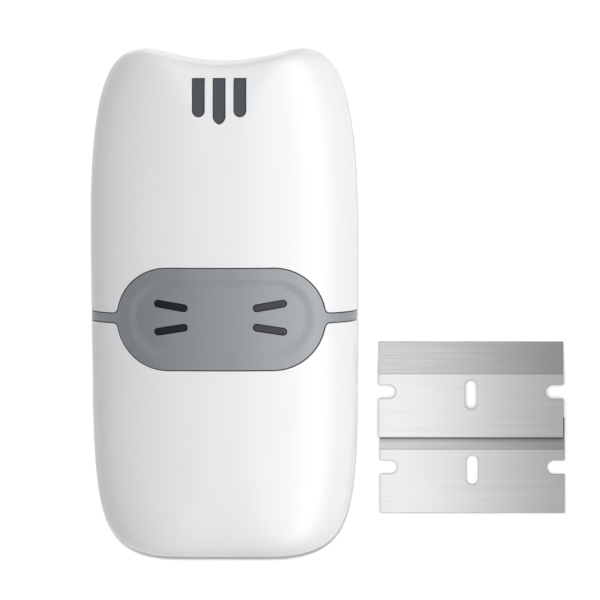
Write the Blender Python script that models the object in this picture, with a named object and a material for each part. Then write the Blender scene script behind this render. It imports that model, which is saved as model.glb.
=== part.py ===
"""Label scraper: an eared hand scraper with a pull-off cap, its blade clamp and two spare blades.

Lengths are in metres and +Z is up. The scraper lies on its flat back: +Z is its front,
+Y is its head with the two ears, and -Y is its flat foot. The origin is on the back,
at the middle of the body's length.
"""

import math

import bmesh
import bpy
from mathutils import Matrix, Vector
from mathutils.geometry import interpolate_bezier

# Body outline, seen from the front. Its width is the blade's and this margin on each side
BODY_MARGIN = 0.00835
BODY_LENGTH = 0.1046
EAR_SPACING = 0.0334
SADDLE_DROP = 0.0027
FOOT_EDGE_WIDTH = 0.0192
FOOT_TAPER = 0.0002
CORNER_TOP = -0.0150
SHOULDER = 0.0146
FOOT_CROWN = 0.0003

# Share of each span that its two curve handles cover, from the foot up to the saddle
CORNER_SHARES = (0.86, 0.89)
SIDE_SHARES = (0.33, 0.33)
EAR_SHARES = (0.86, 0.55)
SADDLE_SHARES = (0.23, 0.52)

# Body depth
BODY_DEPTH = 0.0240
WIDEST_HEIGHT = 0.0105
BACK_CROWN = 0.0010
ACROSS_POWER = 2.4
ALONG_POWER = 8.0
SHELL_WALL = 0.0020

# Resolution of the curved surfaces
SPAN_STEPS = (12, 4, 14, 9)
RING_ANGLE = math.radians(11)
RINGS_EACH_WAY = 8
ARC_STEPS = 7
ROUND_SIDES = 20

# Fits
SEAM_GAP = 0.0003
SEAT_GAP = 0.0003
INLAY_GAP = 0.0001
CLOSE_GAP = 0.0001
OVERRUN = 0.0020

# Grey band and its pad
BAND_MIDDLE = -0.0027
STRIP_HEIGHT = 0.00205
PAD_WIDTH = 0.0433
PAD_HEIGHT = 0.0214
PAD_FILLET = 0.0012
PAD_SIDE_RIM = 0.0022
PAD_END_RIM = 0.0022
DISH_DEPTH = 0.0009
DISH_SLOPE = 0.0018

# Dashes on the pad: inner and outer end of the upper one, from the pad's middle
DASH_WIDTH = 0.0014
DASH_INNER = (0.0075, 0.0020)
DASH_OUTER = (0.0129, 0.0029)
DASH_LIFT = 0.0003
DASH_RECESS = 0.0003

# Bars on the forehead, and how far their tops lie below the ears' peaks
BAR_WIDTH = 0.00265
BAR_PITCH = 0.00427
BAR_DROP = 0.0057
BAR_LENGTH = 0.0078
MIDDLE_BAR_EXTRA = 0.0014
MIDDLE_TIP = 0.0003
BAR_RECESS = 0.0004

# Inlay backing plates
INLAY_PLATE = 0.0010
INLAY_BORDER = 0.0018

# Core collar
COLLAR_WALL = 0.0024
COLLAR_TOP = 0.0090
COLLAR_BOTTOM = -0.0130
WEB_THICKNESS = 0.0020

# Core screws, and how far they lie in from the collar's upper and lower edge
SCREW_SPREAD = 0.0110
SCREW_FROM_TOP = 0.0040
SCREW_FROM_BOTTOM = 0.0045
SCREW_RADIUS = 0.0010
SCREW_HEAD_RADIUS = 0.0019
SCREW_HEAD_DEPTH = 0.0016
SCREW_SINK = 0.0020
SCREW_END = 0.0170
SCREW_SLACK = 0.00015
BOSS_WALL = 0.0016
BOSS_BITE = 0.0008

# Blades
BLADE_WIDTH = 0.0385
BLADE_LENGTH = 0.0199
BLADE_THICKNESS = 0.0003
EDGE_THICKNESS = 0.00006
EDGE_BAND = 0.0068
SLOT_WIDTH = 0.00255
SLOT_LENGTH = 0.0063
SLOT_START = 0.0079
NOTCH_HEIGHT = 0.00295
NOTCH_DEPTH = 0.0037
NOTCH_START = 0.0090

# Neck that carries the installed blade, and the cap's room beyond the cutting edge
BLADE_ROOM = 0.0043
BLADE_SHOW = 0.0072
BLADE_OVERHANG = 0.00045
NECK_BOTTOM = 0.0045
NECK_TOP = 0.0070
NECK_RIB_SPREAD = 0.0080
NECK_RIB_WIDTH = 0.0016
NECK_RIB_DEPTH = 0.0011
PEG_HEIGHT = 0.0017
PEG_LENGTH = 0.0003
PEG_SLACK = 0.00015

# Blade clamp and its hinge, which stands clear of the collar's lower edge
HINGE_STANDOFF = 0.0018
PIN_RADIUS = 0.0009
PIN_SLACK = 0.0001
KNUCKLE_RADIUS = 0.0019
EAR_THICKNESS = 0.0030
EAR_OUTSIDE = 0.0160
CLAMP_THICKNESS = 0.0018
CLAMP_RIB_HEIGHT = 0.0011
CLAMP_RIB_WIDTH = 0.0012
CLAMP_RIB_PITCH = 0.0058
CLAMP_RIB_MARGIN = 0.0016
THUMB_LIP_WIDTH = 0.0120
THUMB_LIP_DEPTH = 0.0012
THUMB_LIP_HEIGHT = 0.0015
HEEL_REACH = 0.0026
HEEL_DROP = 0.0012
CHEEK_THICKNESS = 0.0012
CHEEK_LENGTH = 0.0050
CHEEK_DEPTH = 0.0030
CHEEK_SETBACK = 0.0030

# Spare blades on the table beside the body
SPARE_GAP = 0.00385
SPARE_UPPER_EDGE = -0.0093
SPARE_OFFSET = 0.0158
SPARE_SHIFT = 0.0002

# Colours, roughness and metallic value of each finish
FINISHES = {
    "white_gloss": ((0.86, 0.86, 0.87), 0.22, 0.0),
    "grey_matte": ((0.30, 0.31, 0.33), 0.55, 0.0),
    "charcoal_matte": ((0.08, 0.09, 0.10), 0.50, 0.0),
    "blade_steel": ((0.62, 0.62, 0.63), 0.30, 1.0),
    "pin_steel": ((0.55, 0.55, 0.56), 0.35, 1.0),
}

HALF_WIDTH = BLADE_WIDTH / 2 + BODY_MARGIN
HALF_LENGTH = BODY_LENGTH / 2
HALF_EAR_SPACING = EAR_SPACING / 2
FRONT_RISE = BODY_DEPTH - WIDEST_HEIGHT
BACK_FALL = WIDEST_HEIGHT + BACK_CROWN
CORE_INSET = SHELL_WALL + SEAT_GAP
HOLLOW_INSET = CORE_INSET + COLLAR_WALL
DISH_WIDTH = PAD_WIDTH - 2 * PAD_SIDE_RIM
DISH_HEIGHT = PAD_HEIGHT - 2 * PAD_END_RIM
BAR_TOP = HALF_LENGTH - BAR_DROP
BLADE_REACH = HALF_LENGTH - SHELL_WALL - BLADE_ROOM
NECK_END = BLADE_SHOW - BLADE_REACH
NECK_WIDTH = BLADE_WIDTH - 2 * BLADE_OVERHANG
BLADE_BOTTOM = NECK_TOP + CLOSE_GAP
CLAMP_BOTTOM = BLADE_BOTTOM + BLADE_THICKNESS + CLOSE_GAP
CLAMP_TOP = CLAMP_BOTTOM + CLAMP_THICKNESS
HINGE_ALONG = COLLAR_BOTTOM - HINGE_STANDOFF
HINGE_HEIGHT = NECK_TOP + SEAT_GAP + KNUCKLE_RADIUS
SPARE_ACROSS = HALF_WIDTH + SPARE_GAP + BLADE_WIDTH / 2


def clear_scene():
    for old in list(bpy.data.objects):
        bpy.data.objects.remove(old, do_unlink=True)


def finish(name):
    """The Principled material of this name, made on its first use."""
    if name in bpy.data.materials:
        return bpy.data.materials[name]
    colour, roughness, metallic = FINISHES[name]
    material = bpy.data.materials.new(name)
    material.use_nodes = True
    shader = material.node_tree.nodes["Principled BSDF"]
    shader.inputs["Base Color"].default_value = (*colour, 1)
    shader.inputs["Roughness"].default_value = roughness
    shader.inputs["Metallic"].default_value = metallic
    return material


def add_object(name, mesh, finish_name=None):
    """Turns a bmesh into an object. Without a finish it is a cutter or guide, left out of the model."""
    bmesh.ops.recalc_face_normals(mesh, faces=mesh.faces[:])
    data = bpy.data.meshes.new(name)
    mesh.to_mesh(data)
    mesh.free()
    made = bpy.data.objects.new(name, data)
    bpy.context.scene.collection.objects.link(made)
    if finish_name:
        data.materials.append(finish(finish_name))
        data.shade_smooth()
        data.set_sharp_from_angle(angle=math.radians(35))
    else:
        made.hide_render = True
        made.display_type = "WIRE"
    return made


def combine(target, operation, *tools, solver="EXACT"):
    """Adds one Boolean modifier for each tool: UNION, DIFFERENCE or INTERSECT."""
    for tool in tools:
        modifier = target.modifiers.new(f"{operation} {tool.name}", "BOOLEAN")
        modifier.operation = operation
        modifier.solver = solver
        modifier.object = tool
    return target


def move_origin(target, point):
    """Puts an object's origin at this point and leaves its shape where it is."""
    target.data.transform(Matrix.Translation(-Vector(point)))
    target.location = point


def ring_mesh(rings):
    """Closed mesh over a stack of rings with equal counts of points, with a face over each end."""
    mesh = bmesh.new()
    loops = [[mesh.verts.new(point) for point in ring] for ring in rings]
    for lower, upper in zip(loops, loops[1:]):
        for i in range(len(lower)):
            after = (i + 1) % len(lower)
            mesh.faces.new((lower[i], lower[after], upper[after], upper[i]))
    mesh.faces.new(loops[0])
    mesh.faces.new(loops[-1])
    return mesh


def prism(outline, low, high):
    return ring_mesh([[(x, y, z) for x, y in outline] for z in (low, high)])


def box(low, high):
    outline = [(low[0], low[1]), (high[0], low[1]), (high[0], high[1]), (low[0], high[1])]
    return prism(outline, low[2], high[2])


def arc(centre, radius, start, end, steps=ARC_STEPS):
    angles = [start + (end - start) * i / steps for i in range(steps + 1)]
    return [(centre[0] + radius * math.cos(a), centre[1] + radius * math.sin(a)) for a in angles]


def capsule(first, second, radius):
    """Outline with round ends about two points."""
    along = math.atan2(second[1] - first[1], second[0] - first[0])
    quarter = math.pi / 2
    return arc(second, radius, along - quarter, along + quarter) + arc(
        first, radius, along + quarter, along + 3 * quarter
    )


def upright_round(centre, radius, low, high):
    sides = [2 * math.pi * i / ROUND_SIDES for i in range(ROUND_SIDES)]
    outline = [(centre[0] + radius * math.cos(a), centre[1] + radius * math.sin(a)) for a in sides]
    return prism(outline, low, high)


def cross_round(radius, left, right):
    """Cylinder along X on the hinge axis."""
    sides = [2 * math.pi * i / ROUND_SIDES for i in range(ROUND_SIDES)]
    return ring_mesh([
        [(x, HINGE_ALONG + radius * math.cos(a), HINGE_HEIGHT + radius * math.sin(a)) for a in sides]
        for x in (left, right)
    ])


def span(start, end, corner, shares, steps):
    """Curve from start to end whose handles both point at the corner, without its last point."""
    first = Vector(start).lerp(Vector(corner), shares[0])
    second = Vector(end).lerp(Vector(corner), shares[1])
    points = interpolate_bezier(Vector(start), first, second, Vector(end), steps + 1)
    return [(point.x, point.y) for point in points[:-1]]


def body_outline(inset):
    """The body's outline moved in by inset, anticlockwise from the middle of the foot."""
    side = HALF_WIDTH - inset
    low_side = side - FOOT_TAPER
    foot = inset - HALF_LENGTH - FOOT_CROWN
    top = HALF_LENGTH - inset
    saddle = top - SADDLE_DROP
    foot_edge = (FOOT_EDGE_WIDTH / 2, foot)
    corner_top = (low_side, CORNER_TOP)
    shoulder = (side, SHOULDER)
    ear = (HALF_EAR_SPACING, top)
    half = [(0.0, foot)]
    half += span(foot_edge, corner_top, (low_side, foot), CORNER_SHARES, SPAN_STEPS[0])
    half += span(corner_top, shoulder, (side, (CORNER_TOP + SHOULDER) / 2), SIDE_SHARES, SPAN_STEPS[1])
    half += span(shoulder, ear, (side, top), EAR_SHARES, SPAN_STEPS[2])
    half += saddle_span(ear, (0.0, saddle))
    mirrored = [(-x, y) for x, y in reversed(half[1:])]
    return half + [(0.0, saddle)] + mirrored


def saddle_span(ear, saddle):
    """Level at the ear's peak and at the saddle, without its last point."""
    first = Vector(ear).lerp(Vector((saddle[0], ear[1])), SADDLE_SHARES[0])
    second = Vector(saddle).lerp(Vector((ear[0], saddle[1])), SADDLE_SHARES[1])
    points = interpolate_bezier(Vector(ear), first, second, Vector(saddle), SPAN_STEPS[3] + 1)
    return [(point.x, point.y) for point in points[:-1]]


def body_ring(outline, angle, inset):
    """One level of the body. The outline shrinks towards the front and the back as a superellipse does."""
    rise = math.sin(abs(angle)) ** (2 / ACROSS_POWER)
    across = (1 - rise**ACROSS_POWER) ** (1 / ACROSS_POWER)
    along = (1 - rise**ALONG_POWER) ** (1 / ALONG_POWER)
    depth = (FRONT_RISE if angle > 0 else -BACK_FALL) - math.copysign(inset, angle)
    height = WIDEST_HEIGHT + depth * rise
    return [(x * across, y * along, height) for x, y in outline]


def body_solid(inset):
    """The whole body moved in by inset, with its back and its foot cut flat."""
    outline = body_outline(inset)
    levels = range(-RINGS_EACH_WAY, RINGS_EACH_WAY + 1)
    mesh = ring_mesh([body_ring(outline, RING_ANGLE * level, inset) for level in levels])
    keep_side(mesh, (0, 0, inset), (0, 0, 1))
    keep_side(mesh, (0, inset - HALF_LENGTH, 0), (0, 1, 0))
    return mesh


def keep_side(mesh, point, direction):
    """Cuts a mesh on a plane, keeps what lies in this direction and closes the cut."""
    everything = mesh.verts[:] + mesh.edges[:] + mesh.faces[:]
    cut = bmesh.ops.bisect_plane(
        mesh, geom=everything, plane_co=point, plane_no=direction, clear_inner=True
    )["geom_cut"]
    edges = [part for part in cut if isinstance(part, bmesh.types.BMEdge)]
    bmesh.ops.contextual_create(mesh, geom=edges)


def front_height(x, inset):
    """Height of the front surface at this place across the body, near mid-length."""
    share = abs(x) / (HALF_WIDTH - inset)
    return WIDEST_HEIGHT + (FRONT_RISE - inset) * (1 - share**ACROSS_POWER) ** (1 / ACROSS_POWER)


def band_profile(grow):
    """The band seen from the front: a strip that opens into the pad, with a fillet at each corner."""
    strip = STRIP_HEIGHT / 2 + grow
    radius = PAD_HEIGHT / 2 + grow
    fillet = PAD_FILLET - grow
    middle = (PAD_WIDTH - PAD_HEIGHT) / 2
    fillet_x = middle + math.sqrt((radius + fillet) ** 2 - (strip + fillet) ** 2)
    lean = math.atan2(strip + fillet, fillet_x - middle)
    quarter = math.pi / 2
    corner = [(HALF_WIDTH + OVERRUN, strip)]
    corner += arc((fillet_x, strip + fillet), fillet, -quarter, lean - math.pi, ARC_STEPS // 2)
    corner += arc((middle, 0), radius, lean, quarter)
    left = [(-x, y) for x, y in reversed(corner)]
    upper = corner + left
    lower = [(-x, -y) for x, y in upper]
    return [(x, y + BAND_MIDDLE) for x, y in upper + lower]


def band_block(name, grow, finish_name=None):
    """Everything that the band takes from the body: pad and strip in front, strip behind."""
    half = STRIP_HEIGHT / 2 + grow
    reach = HALF_WIDTH + OVERRUN
    block = add_object(name, prism(band_profile(grow), WIDEST_HEIGHT, BODY_DEPTH + OVERRUN), finish_name)
    behind = add_object(
        f"{name}_behind",
        box((-reach, BAND_MIDDLE - half, -OVERRUN), (reach, BAND_MIDDLE + half, WIDEST_HEIGHT + SEAM_GAP)),
    )
    return combine(block, "UNION", behind)


def dish_tool():
    """The pad's dish: sloped walls that follow the front surface. The floor comes from the body moved in."""
    middle = (DISH_WIDTH - DISH_HEIGHT) / 2
    ends = ((-middle, BAND_MIDDLE), (middle, BAND_MIDDLE))
    rim = capsule(*ends, DISH_HEIGHT / 2)
    floor = capsule(*ends, DISH_HEIGHT / 2 - DISH_SLOPE)
    rings = [
        [(x, y, WIDEST_HEIGHT) for x, y in floor],
        [(x, y, front_height(x, 0) - DISH_DEPTH) for x, y in floor],
        [(x, y, front_height(x, 0)) for x, y in rim],
        [(x, y, BODY_DEPTH + OVERRUN) for x, y in rim],
    ]
    return add_object("dish_tool", ring_mesh(rings))


def dash_outlines(side, grow):
    """Outlines of the two dashes on one side of the pad. Side is 1 on the right and -1 on the left."""
    middle = BAND_MIDDLE + DASH_LIFT
    outlines = []
    for flip in (1, -1):
        ends = [(side * x, middle + flip * y) for x, y in (DASH_INNER, DASH_OUTER)]
        outlines.append(capsule(*sorted(ends), DASH_WIDTH / 2 + grow))
    return outlines


def bar_outlines(grow):
    """Outlines of the forehead's three bars: square at the top, round below, and the middle one pointed."""
    half = BAR_WIDTH / 2 + grow
    outlines = []
    for place in (-1, 0, 1):
        length = BAR_LENGTH + (0 if place else MIDDLE_BAR_EXTRA)
        across = place * BAR_PITCH
        turn = BAR_TOP - length + BAR_WIDTH / 2
        point = 0 if place else MIDDLE_TIP
        end = [
            (x, y - point * (1 - abs(x - across) / half))
            for x, y in arc((across, turn), half, math.pi, 2 * math.pi, 2 * ARC_STEPS)
        ]
        top = BAR_TOP + grow
        outlines.append(end + [(across + half, top), (across - half, top)])
    return outlines


def tools_from(name, outlines, low):
    """One cutter for each outline, from low up past the front."""
    return [
        add_object(f"{name}_{i}", prism(outline, low, BODY_DEPTH + OVERRUN))
        for i, outline in enumerate(outlines)
    ]


def make_head_shell(hollow, band_cut):
    mesh = body_solid(0)
    keep_side(mesh, (0, BAND_MIDDLE + STRIP_HEIGHT / 2 + SEAM_GAP, 0), (0, 1, 0))
    shell = add_object("head_shell", mesh, "white_gloss")
    slots = tools_from("bar_slot", bar_outlines(INLAY_GAP), WIDEST_HEIGHT)
    combine(shell, "DIFFERENCE", hollow, band_cut, *slots)


def make_foot_cap(hollow, band_cut):
    mesh = body_solid(0)
    keep_side(mesh, (0, BAND_MIDDLE - STRIP_HEIGHT / 2 - SEAM_GAP, 0), (0, -1, 0))
    cap = add_object("foot_cap", mesh, "white_gloss")
    combine(cap, "DIFFERENCE", hollow, band_cut)


def make_grip_band(skin, hollow):
    """Grey ring with the dished pad, cut from the same body as the shells so that it lies flush."""
    band = band_block("grip_band", 0, "grey_matte")
    dish = combine(dish_tool(), "DIFFERENCE", add_object("dish_floor", body_solid(DISH_DEPTH)))
    slots = []
    for side in (-1, 1):
        slots += tools_from(f"dash_slot_{side}", dash_outlines(side, INLAY_GAP), WIDEST_HEIGHT)
    combine(band, "INTERSECT", skin)
    combine(band, "DIFFERENCE", hollow, dish, *slots)


def plate_outline(outlines, border, top_border):
    """Rectangle round a group of outlines."""
    xs = [x for outline in outlines for x, _ in outline]
    ys = [y for outline in outlines for _, y in outline]
    low = (min(xs) - border, min(ys) - border)
    high = (max(xs) + border, max(ys) + top_border)
    return [low, (high[0], low[1]), high, (low[0], high[1])]


def make_inlay(name, outlines, top_border, top_inset, plate_skin):
    """Backing plate behind the wall, with raised figures that fill the wall's slots to just below its face."""
    low = front_height(max(abs(x) for outline in outlines for x, _ in outline), HOLLOW_INSET) - OVERRUN
    plate = plate_outline(outlines, INLAY_BORDER, top_border)
    inlay = add_object(name, prism(plate, low, BODY_DEPTH + OVERRUN), "charcoal_matte")
    combine(inlay, "INTERSECT", plate_skin, solver="MANIFOLD")
    face = add_object(f"{name}_face", body_solid(top_inset))
    for figure in tools_from(f"{name}_figure", outlines, low + OVERRUN / 2):
        combine(figure, "INTERSECT", face, solver="MANIFOLD")
        combine(inlay, "UNION", figure, solver="MANIFOLD")
    back = add_object(f"{name}_back", body_solid(CORE_INSET + INLAY_PLATE))
    combine(inlay, "DIFFERENCE", back, solver="MANIFOLD")


def core_half(name, low, high):
    """Half of the collar, solid, between two heights."""
    reach = HALF_WIDTH + OVERRUN
    mesh = box((-reach, COLLAR_BOTTOM, low), (reach, COLLAR_TOP, high))
    return add_object(name, mesh, "charcoal_matte")


def collar_hollow():
    """The collar's bore, left solid at the web across its middle."""
    bore = add_object("collar_bore", body_solid(HOLLOW_INSET))
    half = WEB_THICKNESS / 2
    reach = HALF_WIDTH + OVERRUN
    web = add_object(
        "collar_web",
        box((-reach, BAND_MIDDLE - half, -OVERRUN), (reach, BAND_MIDDLE + half, BODY_DEPTH + OVERRUN)),
    )
    return combine(bore, "DIFFERENCE", web)


def screw_places():
    rows = (COLLAR_TOP - SCREW_FROM_TOP, COLLAR_BOTTOM + SCREW_FROM_BOTTOM)
    return [(x, y) for y in rows for x in (-SCREW_SPREAD, SCREW_SPREAD)]


def screw_seat_height():
    """Height of the counterbore's floor, on which the screw's head bears."""
    return CORE_INSET + SCREW_SINK


def make_screws():
    seat = screw_seat_height() - CLOSE_GAP
    for i, place in enumerate(screw_places()):
        head = upright_round(place, SCREW_HEAD_RADIUS, seat - SCREW_HEAD_DEPTH, seat)
        screw = add_object(f"core_screw_{i + 1}", head, "pin_steel")
        shank = add_object(
            f"core_shank_{i + 1}",
            upright_round(place, SCREW_RADIUS, seat - SCREW_HEAD_DEPTH / 2, SCREW_END),
        )
        combine(screw, "UNION", shank)


def screw_bosses(name, low, high):
    radius = SCREW_RADIUS + SCREW_SLACK + BOSS_WALL
    return [
        add_object(f"{name}_boss_{i}", upright_round(place, radius, low, high))
        for i, place in enumerate(screw_places())
    ]


def screw_holes(name, low, high, radius):
    return [
        add_object(f"{name}_hole_{i}", upright_round(place, radius, low, high))
        for i, place in enumerate(screw_places())
    ]


def neck_tools():
    """The flat neck, the ribs under it, and the boss and pegs that the blade drops over."""
    half = NECK_WIDTH / 2
    start = BAND_MIDDLE
    parts = [add_object("neck_plate", box((-half, NECK_END, NECK_BOTTOM), (half, start, NECK_TOP)))]
    for side in (-1, 1):
        middle = side * NECK_RIB_SPREAD
        rib = box(
            (middle - NECK_RIB_WIDTH / 2, NECK_END + OVERRUN, NECK_BOTTOM - NECK_RIB_DEPTH),
            (middle + NECK_RIB_WIDTH / 2, start, NECK_BOTTOM + NECK_RIB_DEPTH),
        )
        parts.append(add_object(f"neck_rib_{side}", rib))
    return parts + [
        add_object(f"blade_post_{i}", prism(outline, NECK_BOTTOM + NECK_RIB_DEPTH, NECK_TOP + PEG_HEIGHT))
        for i, outline in enumerate(post_outlines(-PEG_SLACK, PEG_LENGTH))
    ]


def post_outlines(grow, peg_reach):
    """The boss in the blade's slot and the pegs in its side notches. Pegs are drawn out sideways by reach."""
    slot_radius = SLOT_WIDTH / 2
    near = SLOT_START + slot_radius - BLADE_REACH
    far = SLOT_START + SLOT_LENGTH - slot_radius - BLADE_REACH
    peg_x = BLADE_WIDTH / 2 - NOTCH_DEPTH + NOTCH_HEIGHT / 2
    peg_y = NOTCH_START + NOTCH_HEIGHT / 2 - BLADE_REACH
    left = ((-peg_x - peg_reach, peg_y), (-peg_x, peg_y))
    right = ((peg_x, peg_y), (peg_x + peg_reach, peg_y))
    boss = capsule((0, near), (0, far), slot_radius + grow)
    return [boss] + [capsule(*ends, NOTCH_HEIGHT / 2 + grow) for ends in (left, right)]


def hinge_ears():
    """The two ears on the neck that carry the clamp's pin."""
    parts = []
    for side in (-1, 1):
        left, right = sorted((side * EAR_OUTSIDE, side * (EAR_OUTSIDE - EAR_THICKNESS)))
        parts.append(add_object(f"ear_round_{side}", cross_round(KNUCKLE_RADIUS, left, right)))
        foot = box(
            (left, HINGE_ALONG - KNUCKLE_RADIUS, NECK_BOTTOM + NECK_RIB_DEPTH),
            (right, HINGE_ALONG + KNUCKLE_RADIUS, HINGE_HEIGHT),
        )
        parts.append(add_object(f"ear_foot_{side}", foot))
    return parts


def make_core_rear(core_skin, bore):
    split = WIDEST_HEIGHT - CLOSE_GAP / 2
    core = core_half("core_rear", -OVERRUN, split)
    combine(core, "INTERSECT", core_skin)
    combine(core, "DIFFERENCE", bore)
    combine(core, "UNION", *neck_tools(), *hinge_ears())
    combine(core, "UNION", *screw_bosses("rear", HOLLOW_INSET - BOSS_BITE, split))
    head_room = SCREW_HEAD_RADIUS + SEAT_GAP
    combine(core, "DIFFERENCE", *screw_holes("rear", -OVERRUN, BODY_DEPTH, SCREW_RADIUS + SCREW_SLACK))
    combine(core, "DIFFERENCE", *screw_holes("rear_head", -OVERRUN, screw_seat_height(), head_room))
    reach = EAR_OUTSIDE + OVERRUN
    pin_hole = add_object("ear_pin_hole", cross_round(PIN_RADIUS + PIN_SLACK, -reach, reach))
    combine(core, "DIFFERENCE", pin_hole)


def make_core_front(core_skin, bore):
    split = WIDEST_HEIGHT + CLOSE_GAP / 2
    core = core_half("core_front", split, BODY_DEPTH + OVERRUN)
    combine(core, "INTERSECT", core_skin)
    combine(core, "DIFFERENCE", bore)
    boss_top = front_height(SCREW_SPREAD, HOLLOW_INSET) + BOSS_BITE
    combine(core, "UNION", *screw_bosses("front", split, boss_top))
    hole_top = SCREW_END + SEAT_GAP
    combine(core, "DIFFERENCE", *screw_holes("front", 0, hole_top, SCREW_RADIUS + SCREW_SLACK))
    pocket_floor = add_object("pocket_floor", body_solid(CORE_INSET + INLAY_PLATE + SEAT_GAP))
    for side in (-1, 1):
        border = INLAY_BORDER + SEAT_GAP
        outline = plate_outline(dash_outlines(side, 0), border, border)
        mesh = prism(outline, WIDEST_HEIGHT, BODY_DEPTH + OVERRUN)
        pocket = add_object(f"inlay_pocket_{side}", mesh)
        combine(core, "DIFFERENCE", combine(pocket, "DIFFERENCE", pocket_floor))


def blade_outline():
    """A blade seen from above with its cutting edge at y = 0 and its back at y = -length."""
    half = BLADE_WIDTH / 2
    radius = NOTCH_HEIGHT / 2
    notch_end = half - NOTCH_DEPTH + radius
    notch_y = -NOTCH_START - radius
    quarter = math.pi / 2
    right = [(half, 0.0), (half, notch_y + radius)]
    right += arc((notch_end, notch_y), radius, quarter, 3 * quarter)
    right += [(half, notch_y - radius), (half, -BLADE_LENGTH)]
    return right + [(-x, y) for x, y in reversed(right)]


def blade_mesh():
    """Flat blade with its slot and side notches, ground thin over the band behind its cutting edge."""
    mesh = prism(blade_outline(), 0, BLADE_THICKNESS)
    bmesh.ops.bisect_plane(
        mesh,
        geom=mesh.verts[:] + mesh.edges[:] + mesh.faces[:],
        plane_co=(0, -EDGE_BAND, 0),
        plane_no=(0, 1, 0),
    )
    for vertex in mesh.verts:
        if vertex.co.z > 0 and vertex.co.y > -EDGE_BAND:
            vertex.co.z -= (BLADE_THICKNESS - EDGE_THICKNESS) * (1 + vertex.co.y / EDGE_BAND)
    return mesh


def slot_tool(name):
    radius = SLOT_WIDTH / 2
    first = (0, -SLOT_START - radius)
    second = (0, -SLOT_START - SLOT_LENGTH + radius)
    return add_object(name, prism(capsule(second, first, radius), -OVERRUN, OVERRUN))


def make_blade(name, turn, place):
    """A blade at its place, with its slot cut by a tool that stays on the blade."""
    blade = add_object(name, blade_mesh(), "blade_steel")
    tool = slot_tool(f"{name}_slot")
    tool.parent = blade
    combine(blade, "DIFFERENCE", tool)
    blade.rotation_euler = turn
    blade.location = place


def make_blade_clamp():
    """Hinged jaw: a plate over the blade, a barrel on the pin, a heel that stops it and two side cheeks."""
    half = NECK_WIDTH / 2
    back = HINGE_ALONG - KNUCKLE_RADIUS - SEAT_GAP
    barrel_half = EAR_OUTSIDE - EAR_THICKNESS - SEAT_GAP
    clamp = add_object(
        "blade_clamp", box((-half, NECK_END, CLAMP_BOTTOM), (half, back, CLAMP_TOP)), "charcoal_matte"
    )
    tongue = box((-barrel_half, back - OVERRUN, CLAMP_BOTTOM), (barrel_half, HINGE_ALONG, CLAMP_TOP))
    heel_low = HINGE_HEIGHT - HEEL_DROP
    heel = box(
        (-barrel_half, HINGE_ALONG, heel_low),
        (barrel_half, HINGE_ALONG + HEEL_REACH, heel_low + CLAMP_THICKNESS),
    )
    lip = box(
        (-THUMB_LIP_WIDTH / 2, NECK_END, CLAMP_BOTTOM + CLOSE_GAP),
        (THUMB_LIP_WIDTH / 2, NECK_END + THUMB_LIP_DEPTH, CLAMP_TOP + THUMB_LIP_HEIGHT),
    )
    parts = [
        add_object("clamp_tongue", tongue),
        add_object("clamp_barrel", cross_round(KNUCKLE_RADIUS, -barrel_half, barrel_half)),
        add_object("clamp_heel", heel),
        add_object("clamp_lip", lip),
    ]
    parts += clamp_ribs(back) + clamp_cheeks(half, HINGE_ALONG - KNUCKLE_RADIUS - CHEEK_SETBACK)
    combine(clamp, "UNION", *parts)
    posts = [
        add_object(f"clamp_post_hole_{i}", prism(outline, NECK_BOTTOM, BODY_DEPTH))
        for i, outline in enumerate(post_outlines(SEAT_GAP, NOTCH_DEPTH))
    ]
    reach = EAR_OUTSIDE + OVERRUN
    pin_hole = add_object("clamp_pin_hole", cross_round(PIN_RADIUS + PIN_SLACK, -reach, reach))
    combine(clamp, "DIFFERENCE", pin_hole, *posts)
    move_origin(clamp, (0, HINGE_ALONG, HINGE_HEIGHT))


def clamp_ribs(back):
    """Stiffening ribs along the jaw, either side of the hole for the boss."""
    ribs = []
    for place in (-2, -1, 1, 2):
        middle = place * CLAMP_RIB_PITCH
        rib = box(
            (middle - CLAMP_RIB_WIDTH / 2, NECK_END + CLAMP_RIB_MARGIN, CLAMP_BOTTOM + CLOSE_GAP),
            (middle + CLAMP_RIB_WIDTH / 2, back - CLAMP_RIB_MARGIN, CLAMP_TOP + CLAMP_RIB_HEIGHT),
        )
        ribs.append(add_object(f"clamp_rib_{place}", rib))
    return ribs


def clamp_cheeks(half, back):
    """Side cheeks that guide the jaw along the neck's edges, clear of the blade's ends."""
    end = back - CHEEK_LENGTH
    cheeks = []
    for side in (-1, 1):
        inside = BLADE_WIDTH / 2 + SEAT_GAP
        outside = inside + CHEEK_THICKNESS
        left, right = sorted((side * inside, side * outside))
        top = CLAMP_TOP - CLOSE_GAP
        cheek = box((left, end, CLAMP_TOP - CHEEK_DEPTH), (right, back, top))
        left, right = sorted((side * (half - OVERRUN), side * outside))
        arm = box((left, end, CLAMP_BOTTOM + CLOSE_GAP), (right, back, top))
        cheeks.append(add_object(f"clamp_cheek_{side}", cheek))
        cheeks.append(add_object(f"clamp_arm_{side}", arm))
    return cheeks


def make_hinge_pin():
    pin = add_object("clamp_hinge_pin", cross_round(PIN_RADIUS, -EAR_OUTSIDE, EAR_OUTSIDE), "pin_steel")
    move_origin(pin, (0, HINGE_ALONG, HINGE_HEIGHT))


def make_blades():
    """The installed blade under the clamp, and two spares on the table, the upper one lying on the lower."""
    over = math.pi
    make_blade("blade", (0, 0, over), (0, -BLADE_REACH, BLADE_BOTTOM))
    lean = math.asin((BLADE_THICKNESS + CLOSE_GAP) / BLADE_LENGTH)
    make_blade("spare_blade_upper", (-lean, 0, 0), (SPARE_ACROSS, SPARE_UPPER_EDGE, 0))
    lower = (SPARE_ACROSS + SPARE_SHIFT, SPARE_UPPER_EDGE - SPARE_OFFSET, 0)
    make_blade("spare_blade_lower", (0, 0, 0), lower)


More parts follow.
